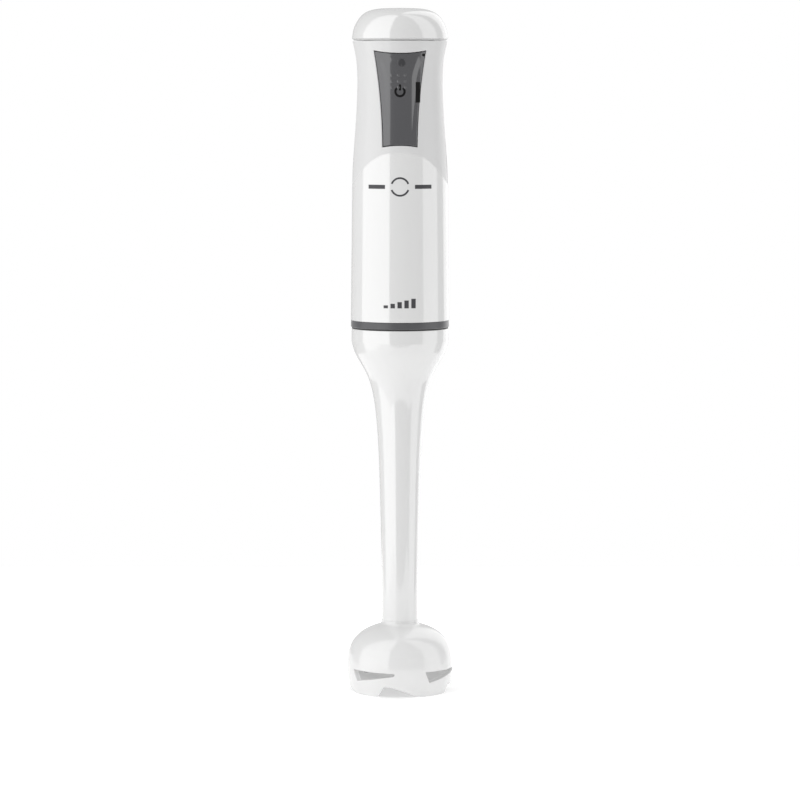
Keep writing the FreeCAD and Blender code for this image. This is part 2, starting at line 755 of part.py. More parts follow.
def panel_window():
    """Smoked cover of the switch panel with its raised middle."""
    shell = unit_core(0.1).cut(unit_core(body_wall)).common(panel_outline(-panel_gap))
    return fuse(shell, raised_pad().cut(unit_core(body_wall)))


def panel_base_plate():
    """Opaque carrier behind the window, with stop flange, pivot lugs and the switch's pusher."""
    pin_y = panel_axis_y()
    back = body_wall + panel_base
    plate = unit_core(body_wall + snug).cut(unit_core(back)).common(panel_outline(-panel_gap))
    flange = unit_core(body_wall + 0.5).cut(unit_core(back)).common(panel_outline(panel_flange))
    body = fuse(plate, flange)
    inside = unit_core(back - 1.0)
    lug = block((4.6, 6.8), (-body_radius, pin_y + 2.0), (pin_z - 2.4, pin_z + 2.6)).common(inside)
    pusher = rod_y(2.2, -body_radius, pusher_y(), 0, switch_z()).common(inside)
    body = fuse(body, lug, mirrored_x(lug), pusher)
    return cut(body, rod_x(pin_radius + running, -12, 12, pin_y, pin_z),
               rod_y(1.6, -40, 0, 0, board_top - 2.1))


def switch_z():
    return board_top - 7.2


def pusher_y():
    """Y of the pusher's end face."""
    return -(waist_radius - body_wall - panel_base) + 1.6


def paddle_pin():
    reach = panel_bottom_half + 3.5
    return rod_x(pin_radius, -reach, reach, panel_axis_y(), pin_z)


def paddle_spring():
    """Torsion spring round the pin: one leg up behind the panel, one back into the housing."""
    turns = 4.25
    pitch = 1.0
    radius = pin_radius + 0.75
    helix = Part.makeHelix(pitch, pitch * turns, radius)
    first = helix.Edges[0]
    start = first.valueAt(first.FirstParameter)
    end = first.valueAt(first.LastParameter)
    way_in = first.tangentAt(first.FirstParameter)
    way_out = first.tangentAt(first.LastParameter)
    leg_in = Part.LineSegment(start - way_in * 6.0, start).toShape()
    leg_out = Part.LineSegment(end, end + way_out * 4.0).toShape()
    coil = sweep([leg_in] + helix.Edges + [leg_out], 0.3)
    coil = turned(turned(coil, 90, BACK), -101, RIGHT)
    coil.translate(Vector(-pitch * turns / 2, panel_axis_y(), pin_z))
    return coil


def housing_screws():
    screws = []
    for side in (-1, 1):
        x = side * screw_x
        z = pin_z + 20.5
        body = fuse(rod_y(screw_radius, -10.5, 9.1, x, z), rod_y(2.5, 9.0, 11.0, x, z))
        cross = [block((x - 1.5, x + 1.5), (10.2, 12), (z - 0.35, z + 0.35)),
                 block((x - 0.35, x + 0.35), (10.2, 12), (z - 1.5, z + 1.5))]
        screws.append(cut(body, *cross))
    return Part.makeCompound(screws)


# ---------------------------------------------------------------- electronics and cord entry
def circuit_board():
    board = block((-board_half, board_half), (board_y, board_y + board_thickness), (board_low, board_top))
    return cut(board, *[rod_y(1.1, -20, 0, 0, board_low + rise) for rise in (6.0, 22.0)])


def board_screws():
    screws = []
    for rise in (6.0, 22.0):
        z = board_low + rise
        screws.append(fuse(rod_y(0.9, board_y - 0.1, board_y + 8.0, 0, z),
                           rod_y(1.9, board_y - 1.3, board_y, 0, z)))
    return Part.makeCompound(screws)


def microswitch():
    z = switch_z()
    body = block((-6.4, 6.4), (board_y - 6.0, board_y), (z - 3.2, z + 3.2))
    return cut(body, rod_y(1.3, board_y - 7, board_y - 1.4, 0, z))


def switch_plunger():
    """Plunger of the microswitch, with a domed end just short of the pusher."""
    z = switch_z()
    tip = pusher_y() + 0.3
    rod = rod_y(1.22, tip, board_y - 4.2, 0, z)
    return rod.common(Part.makeSphere(2.4, Vector(0, tip + 2.4, z)).fuse(rod_y(3, tip + 2.4, board_y, 0, z)))


def capacitor():
    low = board_low + 8.8
    box = block((-7.0, 7.0), (board_y - 7.0, board_y), (low, low + 10.4))
    return box.makeFillet(1.0, [e for e in box.Edges if abs(e.tangentAt(e.FirstParameter).y) > 0.99])


def indicator_led():
    z = board_top - 2.1
    return fuse(rod_y(1.5, board_y - 5.0, board_y, 0, z), Part.makeSphere(1.5, Vector(0, board_y - 5.0, z)),
                rod_y(1.9, board_y - 1.0, board_y, 0, z))


def motor_leads():
    """Two insulated leads from the board down to the brush guides."""
    low = Vector(13.5, 0, brush_z + 4.2)
    bend = Vector(13.5, 0, board_low - 1.0)
    end = Vector(8.6, board_y + board_thickness + 0.9, board_low + 5.0)
    before = bend + (low - bend) * (5.0 / (low - bend).Length)
    after = bend + (end - bend) * (5.0 / (end - bend).Length)
    chord = (before + after) * 0.5
    middle = bend + (chord - bend) * 0.56
    path = [Part.LineSegment(low, before).toShape(), Part.Arc(before, middle, after).toShape(),
            Part.LineSegment(after, end).toShape()]
    lead = sweep(path, 0.9)
    return Part.makeCompound([lead, mirrored_x(lead)])


def cord_grommet():
    """Rubber bush of the cord entry, flanged on the inside."""
    sleeve = rod_y(grommet_radius, grommet_seat_y - 1.7, waist_radius + 1.1, 0, cord_z)
    flange = rod_y(grommet_flange, grommet_seat_y - 1.7, grommet_seat_y - snug, 0, cord_z)
    return cut(fuse(sleeve, flange), rod_y(cord_bore, 10, 40, 0, cord_z))


def cord_clamp():
    bar = block((-9.0, 9.0), (12.1, 16.9), (cord_z + 3.2, cord_z + 5.4))
    holes = [disc(1.1, cord_z, cord_z + 9, side * 6.9, 14.5) for side in (-1, 1)]
    return cut(bar, rod_y(cord_bore, 0, 40, 0, cord_z), *holes)


def clamp_screws():
    top = cord_z + 5.4
    return Part.makeCompound([fuse(disc(0.9, cord_z - 3.0, top + 0.1, side * 6.9, 14.5),
                                   disc(1.9, top, top + 1.3, side * 6.9, 14.5)) for side in (-1, 1)])


# ---------------------------------------------------------------- build
PIECES = [bell_guard, foot_tube, foot_collar, upper_bush, lower_bush, shaft_seal,
          blade_shaft, blade, blade_hub, blade_nut, thrust_washer, shaft_clip, foot_coupling,
          joint_gasket, coupling_socket,
          lower_bracket, upper_bracket, damping_ring, stator_core, field_coils, motor_bolts,
          armature_shaft, armature_core, armature_windings, commutator, fan, motor_coupling,
          brush_holders, carbon_brushes, brush_springs,
          front_housing, rear_housing, top_cap, panel_window, panel_base_plate,
          paddle_pin, paddle_spring, housing_screws,
          circuit_board, board_screws, microswitch, switch_plunger, capacitor, indicator_led, motor_leads,
          cord_grommet, cord_clamp, clamp_screws]


def lower_bearing():
    return bearing(bearing_low)


def upper_bearing():
    return bearing(top_plate_top)


def save(make):
    """Write one piece's solids to parts/NAME.step."""
    solids = make().Solids
    name = make.__name__
    whole = solids[0] if len(solids) == 1 else Part.makeCompound(solids)
    whole.exportStep(os.path.join("parts", name + ".step"))
    print(name, len(solids), "solids", "valid" if whole.isValid() else "NOT VALID", round(whole.Volume))


os.makedirs("parts", exist_ok=True)
for piece in PIECES + [lower_bearing, upper_bearing]:
    save(piece)
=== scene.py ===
"""Looks of the immersion blender, built round its fixed frame.

Shapes are worked out in millimetres in the frame's own axes (+Z up the drive axis, -Y the front) and
become meshes in metres.  An angle on the body is measured from the front, positive towards +X.
"""
import math

import bmesh
import bpy
import numpy as np
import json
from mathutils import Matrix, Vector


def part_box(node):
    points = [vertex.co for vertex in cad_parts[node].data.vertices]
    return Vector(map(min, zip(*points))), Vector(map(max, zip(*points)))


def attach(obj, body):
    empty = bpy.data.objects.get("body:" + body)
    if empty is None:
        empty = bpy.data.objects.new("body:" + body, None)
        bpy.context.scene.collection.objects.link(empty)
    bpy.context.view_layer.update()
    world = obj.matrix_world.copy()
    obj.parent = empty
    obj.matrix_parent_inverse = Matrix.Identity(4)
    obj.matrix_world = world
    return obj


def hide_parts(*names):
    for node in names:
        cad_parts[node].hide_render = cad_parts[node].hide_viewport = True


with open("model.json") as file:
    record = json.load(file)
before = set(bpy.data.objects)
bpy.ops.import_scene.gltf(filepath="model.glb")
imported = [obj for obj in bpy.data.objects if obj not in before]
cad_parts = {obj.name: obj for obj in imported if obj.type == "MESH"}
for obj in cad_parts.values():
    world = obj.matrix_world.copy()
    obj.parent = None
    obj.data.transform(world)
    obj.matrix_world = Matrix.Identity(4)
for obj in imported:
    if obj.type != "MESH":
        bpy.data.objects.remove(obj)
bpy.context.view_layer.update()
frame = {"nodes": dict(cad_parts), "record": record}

MM = 0.001


def span(node):
    """Lowest and highest corner of a frame node, in millimetres."""
    low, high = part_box(node)
    return np.array(low) / MM, np.array(high) / MM


# ------------------------------------------------------------ levels and sizes taken from the frame
RING_TOP = span("front_housing")[0][2]
BODY_TOP = span("front_housing")[1][2]
FOOT_TOP = span("foot_tube")[1][2]
TOTAL = span("top_cap")[1][2]

SEAM = BODY_TOP + 0.4
CREASE_Z = SEAM - 79.5
ARCH_RISE = 18.1
ARCH_POWER = 2.6
BARREL_LOW = 27.3
BARREL_HIGH = 26.45
WAIST = 23.5
CROWN = 26.2
WALL = 2.6

PANEL_TOP = BODY_TOP - 5.3
PANEL_LOW = PANEL_TOP - 52.8
PANEL_TOP_HALF = 14.5
PANEL_LOW_HALF = 9.7
PANEL_GAP = 0.35


# ------------------------------------------------------------ curves
def spline(stops):
    """Natural cubic curve through (place, value) stops, as a function of place; straight beyond its ends."""
    x, y = np.array(stops, float).T
    step = np.diff(x)
    count = len(x)
    system = np.eye(count)
    target = np.zeros(count)
    for k in range(1, count - 1):
        system[k, k - 1:k + 2] = step[k - 1], 2 * (step[k - 1] + step[k]), step[k]
        target[k] = 6 * ((y[k + 1] - y[k]) / step[k] - (y[k] - y[k - 1]) / step[k - 1])
    bend = np.linalg.solve(system, target)

    def value(place):
        place = np.asarray(place, float)
        inside = np.clip(place, x[0], x[-1])
        k = np.clip(np.searchsorted(x, inside) - 1, 0, count - 2)
        a = x[k + 1] - inside
        b = inside - x[k]
        slope_low = (y[1] - y[0]) / step[0] - step[0] * bend[1] / 6
        slope_high = (y[-1] - y[-2]) / step[-1] + step[-1] * bend[-2] / 6
        within = ((bend[k] * a ** 3 + bend[k + 1] * b ** 3) / (6 * step[k])
                  + (y[k] / step[k] - bend[k] * step[k] / 6) * a
                  + (y[k + 1] / step[k] - bend[k + 1] * step[k] / 6) * b)
        return within + slope_low * np.minimum(place - x[0], 0) + slope_high * np.maximum(place - x[-1], 0)

    return value


def spline_path(stops, count):
    """Smooth path through (radius, z) stops, by two natural cubic curves over the distance along it."""
    stops = np.array(stops, float)
    along = np.concatenate([[0], np.cumsum(np.hypot(*np.diff(stops, axis=0).T))])
    places = np.linspace(0, along[-1], count)
    return np.stack([spline(list(zip(along, stops[:, k])))(places) for k in (0, 1)], -1)


def ease(t):
    """0 below 0, 1 above 1, and 3t^2 - 2t^3 between."""
    t = np.clip(t, 0, 1)
    return t * t * (3 - 2 * t)


def soft_min(a, b, width):
    """The smaller of two values, with the corner between them rounded over `width`."""
    share = np.clip(0.5 + 0.5 * (b - a) / width, 0, 1)
    return b * (1 - share) + a * share - width * share * (1 - share)


def rounded_drop(distance, radius):
    """Depth below a surface at a given distance from its rounded edge: a quarter circle."""
    near = np.clip(radius - distance, 0, radius)
    return radius - np.sqrt(np.maximum(radius ** 2 - near ** 2, 0))


def graded(start, end, count, edge_low=(), edge_high=()):
    """Evenly spaced places from start to end, with extra places at small distances from either end."""
    places = np.concatenate([np.linspace(start, end, count),
                             start + np.array(edge_low), end - np.array(edge_high)])
    return np.unique(np.round(places, 6))


# ------------------------------------------------------------ meshes
REPLACED = set()


def build(name, points, faces, body, material, stands_for=(), sharp=35.0):
    """Mesh object from points in millimetres, smooth except over edges sharper than `sharp` degrees."""
    used, where = np.unique(np.concatenate([np.ravel(f) for f in faces]), return_inverse=True)
    lists = []
    taken = 0
    for group in faces:
        size = group.size
        lists += where[taken:taken + size].reshape(group.shape).tolist()
        taken += size
    mesh = bpy.data.meshes.new(name)
    mesh.from_pydata((points[used] * MM).tolist(), [], lists)
    work = bmesh.new()
    work.from_mesh(mesh)
    bmesh.ops.remove_doubles(work, verts=work.verts, dist=2e-7)
    bmesh.ops.dissolve_degenerate(work, edges=work.edges, dist=1e-7)
    work.to_mesh(mesh)
    work.free()
    mesh.polygons.foreach_set("use_smooth", [True] * len(mesh.polygons))
    mesh.set_sharp_from_angle(angle=math.radians(sharp))
    mesh.materials.append(material)
    piece = bpy.data.objects.new(name, mesh)
    bpy.context.collection.objects.link(piece)
    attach(piece, body)
    if stands_for:
        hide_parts(*stands_for)
        REPLACED.update(stands_for)
    return piece


def grid_faces(index, keep):
    """Four-cornered faces between neighbours in a grid of point numbers, where `keep` is true."""
    return np.stack([index[:-1, :-1], index[:-1, 1:], index[1:, 1:], index[1:, :-1]], -1)[keep]


def open_edges(quads):
    """Starts and ends of the edges that only one of the faces has."""
    start = quads.ravel()
    end = np.roll(quads, -1, 1).ravel()
    base = quads.max() + 1
    alone = ~np.isin(start * base + end, end * base + start)
    return start[alone], end[alone]


def shell(outer, inner, keep=None):
    """Closed skin between two grids of points, shaped (rows, columns, 3).

    Columns run anticlockwise seen from above and rows upwards, so that the outer grid faces out.  Cells
    that `keep` leaves out are openings, and every open edge gets a wall from the outer to the inner grid.
    """
    rows, columns = outer.shape[:2]
    total = rows * columns
    if keep is None:
        keep = np.ones((rows - 1, columns - 1), bool)
    quads = grid_faces(np.arange(total).reshape(rows, columns), keep)
    start, end = open_edges(quads)
    walls = np.stack([end, start, start + total, end + total], -1)
    points = np.concatenate([outer.reshape(-1, 3), inner.reshape(-1, 3)])
    return points, [quads, quads[:, ::-1] + total, walls]


def beyond_opening(cell_u, v):
    """True for the grid cells outside an opening that takes up u below 1 and v from 1 to 2."""
    cell_v = (v[:-1, :-1] + v[1:, :-1]) / 2
    return ~((cell_u < 1) & (cell_v > 1) & (cell_v < 2))


def turned_profile(profile, segments=192):
    """Solid of revolution from an outline of (radius, z) points that starts and ends on the axis, or
    closes on itself; it runs up the outside, so faces point out."""
    profile = np.asarray(profile, float)
    angle = np.linspace(0, 2 * math.pi, segments, endpoint=False)
    radius = profile[:, :1]
    points = np.stack([radius * np.sin(angle), -radius * np.cos(angle),
                       np.repeat(profile[:, 1:], segments, 1)], -1)
    index = np.arange(points.shape[0] * segments).reshape(-1, segments)
    across = np.roll(index, -1, 1)
    if profile[0, 0] > 0:
        above = np.roll(index, -1, 0)
        quads = np.stack([index, across, np.roll(across, -1, 0), above], -1)
    else:
        quads = np.stack([index[:-1], across[:-1], across[1:], index[1:]], -1)
    return points.reshape(-1, 3), [quads.reshape(-1, 4)]


def outline(*corners):
    """Outline through (radius, z, rounding) corners, each rounded by an arc of its own radius."""
    spots = np.array([corner[:2] for corner in corners], float)
    points = []
    for k, corner in enumerate(corners):
        radius = corner[2] if len(corner) > 2 else 0
        here = spots[k]
        if radius == 0:
            points.append(here)
            continue
        back = spots[k - 1] - here
        ahead = spots[(k + 1) % len(spots)] - here
        back /= np.linalg.norm(back)
        ahead /= np.linalg.norm(ahead)
        half = math.acos(np.clip(back @ ahead, -1, 1)) / 2
        middle = (back + ahead) / np.linalg.norm(back + ahead)
        centre = here + middle * radius / math.sin(half)
        first = here + back * radius / math.tan(half) - centre
        last = here + ahead * radius / math.tan(half) - centre
        sweep = math.atan2(first[0] * last[1] - first[1] * last[0], first @ last)
        for turn in np.linspace(0, sweep, 7):
            cos, sin = math.cos(turn), math.sin(turn)
            points.append(centre + [first[0] * cos - first[1] * sin, first[0] * sin + first[1] * cos])
    return np.array(points)


# ------------------------------------------------------------ shader kit
class Value:
    """A number that varies over a surface; Python's operators add Math nodes."""

    def __init__(self, tree, socket):
        self.tree = tree
        self.socket = socket

    def apply(self, operation, *others, first=None):
        """Math node on this value and the others, with `first` ahead of it if given."""
        node = self.tree.nodes.new("ShaderNodeMath")
        node.operation = operation
        operands = ([first] if first is not None else []) + [self] + list(others)
        for socket, operand in zip(node.inputs, operands):
            plug(self.tree, operand, socket)
        return Value(self.tree, node.outputs[0])

    def __add__(self, other):
        return self.apply("ADD", other)

    def __sub__(self, other):
        return self.apply("SUBTRACT", other)

    def __mul__(self, other):
        return self.apply("MULTIPLY", other)

    def __truediv__(self, other):
        return self.apply("DIVIDE", other)

    def __rsub__(self, other):
        return self.apply("SUBTRACT", first=other)

    __radd__ = __add__
    __rmul__ = __mul__

    def root(self):
        return self.apply("SQRT")

    def size(self):
        return self.apply("ABSOLUTE")


def plug(tree, value, socket):
    """Link a Value or an output socket, or set a constant."""
    if isinstance(value, Value):
        tree.links.new(value.socket, socket)
    elif isinstance(value, bpy.types.NodeSocket):
        tree.links.new(value, socket)
    else:
        socket.default_value = value


class Finish:
    """One material: a Principled surface whose constants are set on its own sockets."""

    def __init__(self, name, **constants):
        self.material = bpy.data.materials.new(name)
        self.material.use_nodes = True
        self.tree = self.material.node_tree
        self.surface = self.tree.nodes["Principled BSDF"]
        for label, value in constants.items():
            label = label.replace("_", " ").title().replace("Ior", "IOR")
            if label.endswith("Color") and len(value) == 3:
                value = (*value, 1.0)
            self.surface.inputs[label].default_value = value
        self.material.diffuse_color = self.surface.inputs["Base Color"].default_value
        self.place = self.node("ShaderNodeTexCoord").outputs["Object"]

    def node(self, kind, settings=None, **inputs):
        """Node of a kind: its settings first, then the values or links of its sockets."""
        node = self.tree.nodes.new(kind)
        for name, value in (settings or {}).items():
            setattr(node, name, value)
        for label, value in inputs.items():
            plug(self.tree, value, node.inputs[label])
        return node

    def axes(self):
        """X, Y and Z of the surface point, in metres."""
        parts = self.node("ShaderNodeSeparateXYZ", Vector=self.place)
        return [Value(self.tree, socket) for socket in parts.outputs]

    def stretched(self, factors):
        """Surface point with each axis scaled."""
        return self.node("ShaderNodeMapping", Vector=self.place, Scale=factors).outputs[0]

    def noise(self, size, detail=2.0, along=(1, 1, 1)):
        """Noise from 0 to 1 with features about `size` metres across."""
        node = self.node("ShaderNodeTexNoise", Vector=self.stretched(along), Scale=1 / size, Detail=detail)
        return Value(self.tree, node.outputs["Fac"])

    def step(self, value, low, high):
        """0 where value is below low, 1 above high, smooth between."""
        node = self.node("ShaderNodeMapRange", {"interpolation_type": "SMOOTHSTEP"}, Value=value)
        node.inputs["From Min"].default_value = low
        node.inputs["From Max"].default_value = high
        return Value(self.tree, node.outputs["Result"])

    def blend(self, factor, low, high):
        """Colour between low and high."""
        node = self.node("ShaderNodeMix", {"data_type": "RGBA"})
        plug(self.tree, factor, node.inputs[0])
        plug(self.tree, (*low, 1.0) if isinstance(low, tuple) else low, node.inputs[6])
        plug(self.tree, (*high, 1.0) if isinstance(high, tuple) else high, node.inputs[7])
        return node.outputs[2]

    def colour(self, value):
        plug(self.tree, value, self.surface.inputs["Base Color"])

    def roughness(self, value):
        plug(self.tree, value, self.surface.inputs["Roughness"])

    def coat(self, value):
        plug(self.tree, value, self.surface.inputs["Coat Weight"])

    def relief(self, height, depth):
        """Bump of `depth` metres."""
        node = self.node("ShaderNodeBump", Height=height, Distance=depth, Strength=1.0)
        plug(self.tree, node.outputs[0], self.surface.inputs["Normal"])


def speckled(finish, low, high, size, rough, rough_swing=0.06, depth=2e-6, along=(1, 1, 1)):
    """Moulded or cast look: slight colour drift, uneven gloss and a fine grain."""
    drift = finish.noise(size * 12, 3.0, along)
    grain = finish.noise(size, 4.0, along)
    finish.colour(finish.blend(drift, low, high))
    finish.roughness(grain * rough_swing + (rough - rough_swing / 2))
    finish.relief(grain, depth)
    return finish.material


def gloss_white():
    """Polished white plastic: faint flow marks, fine dust-sized gloss changes."""
    finish = Finish("white_gloss_plastic", base_color=(0.8, 0.8, 0.8), roughness=0.2, coat_weight=1.0,
                    coat_roughness=0.03, coat_ior=2.2)
    drift = finish.noise(0.05, 2.0, (1, 1, 0.3))
    finish.colour(finish.blend(drift, (0.70, 0.70, 0.695), (0.73, 0.73, 0.73)))
    finish.roughness(finish.noise(0.002, 3.0) * 0.08 + 0.2)
    finish.relief(finish.noise(0.012, 2.0, (1, 1, 0.4)), 4e-6)
    return finish.material


def body_white():
    """The motor unit's shell: polished below the arched crease, rougher and less glossy with a fine grain
    above it, where its white is also painted darker as painted shade for the grip's dimmer tone.
    """
    finish = Finish("white_body_plastic", base_color=(0.8, 0.8, 0.8), roughness=0.2, coat_weight=1.0,
                    coat_roughness=0.03, coat_ior=2.2)
    x, _, z = finish.axes()
    swing = (x.size() / (BARREL_HIGH * MM)).apply("MINIMUM", 1.0).apply("POWER", ARCH_POWER)
    crease = (1 - swing) * (ARCH_RISE * MM) + CREASE_Z * MM
    grip = finish.step(z - crease, -0.0004, 0.0004)
    drift = finish.noise(0.05, 2.0, (1, 1, 0.3))
    gloss = finish.blend(drift, (0.70, 0.70, 0.695), (0.73, 0.73, 0.73))
    # painted shade: above the crease the white is painted a darker grey than the polished barrel below
    grip_painted_shade = finish.blend(drift, (0.64, 0.64, 0.64), (0.67, 0.67, 0.67))
    finish.colour(finish.blend(grip, gloss, grip_painted_shade))
    grain = finish.noise(0.0006, 3.0)
    finish.roughness(finish.noise(0.002, 3.0) * 0.08 + 0.2 + grip * 0.22)
    finish.coat(1 - grip * 0.85)
    finish.relief(grain * grip * 0.5 + finish.noise(0.012, 2.0, (1, 1, 0.4)), 4e-6)
    return finish.material


def bell_white():
    """White of the guard; a faint glow on its inside stands for the light through its thin wall."""
    finish = Finish("white_guard_plastic", base_color=(0.8, 0.8, 0.8), roughness=0.3, coat_weight=0.9,
                    coat_roughness=0.07, coat_ior=1.9)
    x, y, z = finish.axes()
    radius = (x * x + y * y).root()
    inside = (1 - finish.step(radius, 0.0271, 0.0276)) * (1 - finish.step(z, 0.022, 0.026))
    finish.surface.inputs["Emission Strength"].default_value = 1.0
    plug(finish.tree, finish.blend(inside, (0.0, 0.0, 0.0), (0.13, 0.13, 0.13)),
         finish.surface.inputs["Emission Color"])
    drift = finish.noise(0.03, 2.0, (1, 1, 0.5))
    finish.colour(finish.blend(drift, (0.72, 0.72, 0.715), (0.76, 0.76, 0.76)))
    finish.roughness(finish.noise(0.002, 3.0) * 0.08 + 0.28)
    finish.relief(finish.noise(0.010, 2.0), 4e-6)
    return finish.material


WHITE = gloss_white()
BELL = bell_white()
BODY = body_white()
RING_GREY = speckled(Finish("ring_grey", coat_weight=0.35, coat_roughness=0.25), (0.06, 0.06, 0.065),
                     (0.075, 0.075, 0.08), 0.0004, 0.32)
SMOKED = speckled(Finish("smoked_cover", coat_weight=1.0, coat_roughness=0.02, coat_ior=1.78),
                  (0.022, 0.022, 0.027), (0.036, 0.036, 0.042), 0.003, 0.25, 0.08, 1e-6)
CARRIER = speckled(Finish("panel_carrier"), (0.02, 0.02, 0.022), (0.03, 0.03, 0.032), 0.0003, 0.5)
INK = speckled(Finish("print_grey"), (0.035, 0.035, 0.04), (0.05, 0.05, 0.055), 0.0002, 0.4)
BLACK = speckled(Finish("icon_black", specular_ior_level=0.12), (0.004, 0.004, 0.004),
                 (0.007, 0.007, 0.007), 0.0002, 0.5)
LENS = speckled(Finish("indicator_lens", coat_weight=0.8, coat_roughness=0.06, specular_ior_level=0.2),
                (0.022, 0.022, 0.025), (0.035, 0.035, 0.04), 0.0004, 0.3)
RUBBER = speckled(Finish("black_rubber"), (0.018, 0.018, 0.018), (0.03, 0.03, 0.03), 0.0003, 0.6, 0.1, 6e-6)


def plain(name, colour, rough):
    """Moulded or pressed stuff in one hue: its tone drifts by a tenth and its gloss is uneven."""
    low = tuple(0.88 * part for part in colour)
    high = tuple(min(1.0, 1.08 * part) for part in colour)
    return speckled(Finish(name), low, high, 0.0004, rough)


def metal(name, colour, rough, pitch=0.0):
    """Machined metal with fine rings round the axis; with a pitch, layers that far apart show as bands."""
    finish = Finish(name, metallic=1.0)
    z = finish.axes()[2]
    grain = finish.noise(0.0008, 4.0, (1, 1, 12))
    tone = finish.noise(0.006, 3.0)
    if pitch:
        layer = (z / pitch).apply("PINGPONG", 1.0)
        tone = tone * 0.5 + layer * 0.5
        finish.relief(layer, pitch / 8)
    else:
        finish.relief(grain, 3e-6)
    finish.colour(finish.blend(tone, tuple(0.75 * part for part in colour), colour))
    finish.roughness(grain * 0.15 + (rough - 0.07))
    return finish.material


def dress_inner_pieces():
    """Give every piece that stays as the frame made it the finish of its material."""
    finishes = {
        "white_gloss": WHITE, "ring_grey": RING_GREY, "panel_carrier": CARRIER, "gasket_rubber": RUBBER,
        "seal_rubber": RUBBER, "steel": metal("turned_steel", (0.52, 0.52, 0.53), 0.28),
        "zinc_screw": metal("zinc_plate", (0.62, 0.64, 0.66), 0.35),
        "bronze": metal("sintered_bronze", (0.45, 0.27, 0.12), 0.5),
        "brass": metal("sheet_brass", (0.72, 0.52, 0.20), 0.32),
        "lamination": metal("stacked_steel", (0.22, 0.22, 0.23), 0.45, 0.0005),
        "copper": metal("wound_copper", (0.70, 0.29, 0.13), 0.30, 0.0007),
        "carbon": plain("pressed_carbon", (0.02, 0.02, 0.02), 0.7),
        "nylon": plain("nylon", (0.62, 0.60, 0.53), 0.4),
        "black_nylon": plain("black_nylon", (0.02, 0.02, 0.022), 0.42),
        "board_green": plain("board_green", (0.02, 0.12, 0.04), 0.35),
        "capacitor_yellow": plain("capacitor_yellow", (0.75, 0.45, 0.03), 0.3),
        "lamp": plain("lamp_lens", (0.55, 0.06, 0.04), 0.15),
        "lead_insulation": plain("lead_insulation", (0.45, 0.03, 0.02), 0.45),
    }
    kinds = {entry["node"]: entry["material_slot"] for entry in frame["record"]["subparts"]}
    for name, node in frame["nodes"].items():
        if name in REPLACED:
            continue
        node.data.materials.clear()
        node.data.materials.append(BODY if name == "rear_housing" else finishes[kinds[name]])


# ------------------------------------------------------------ the motor unit's outer surface
grip_curve = spline([(CREASE_Z, BARREL_HIGH), (SEAM - 50.6, WAIST + 1.3), (SEAM - 24.0, WAIST),
                     (SEAM - 10.4, WAIST + 0.65), (BODY_TOP, CROWN)])


def unit_radius(z, angle):
    """Radius of the motor unit: the lesser of a tapered barrel and a waisted grip, which is filled out
    towards the front and back by 1 - |sin|^2.6, so that they meet in an arched crease."""
    slope = (BARREL_HIGH - BARREL_LOW) / (CREASE_Z - RING_TOP)
    arch_z = CREASE_Z + ARCH_RISE
    barrel = BARREL_LOW + slope * (z - RING_TOP) + 6.0 * np.maximum((z - arch_z - 6) / 60, 0) ** 2
    fullness = BARREL_LOW + slope * (arch_z - RING_TOP) - grip_curve(arch_z)
    swell = fullness * (1 - np.abs(np.sin(angle)) ** ARCH_POWER) * (1 - ease((z - arch_z - 2) / 36))
    return soft_min(barrel, grip_curve(z) + swell, 0.03)


def on_unit(x, z, lift=0.0):
    """Point on the front of the motor unit at x and z, raised by `lift`."""
    angle = np.arcsin(np.clip(x / unit_radius(z, 0.0), -1, 1))
    radius = unit_radius(z, angle) + lift
    return np.stack([radius * np.sin(angle), -radius * np.cos(angle), z + 0 * x], -1)


def panel_half(z, grow=0.0):
    """Half width of the switch panel: a trapezium whose sides are hollow by 1.1 mm."""
    share = np.clip((z - PANEL_LOW) / (PANEL_TOP - PANEL_LOW), 0, 1)
    straight = PANEL_LOW_HALF + (PANEL_TOP_HALF - PANEL_LOW_HALF) * share
    return straight - 4.4 * share * (1 - share) + grow


def panel_ends(across, grow=0.0):
    """Z of the panel's lower and upper edge at `across`, from -1 to 1 over its width."""
    bow = np.maximum(1 - across ** 2, 0)
    return PANEL_LOW + 0.9 * bow - grow, PANEL_TOP - 1.4 * bow + grow


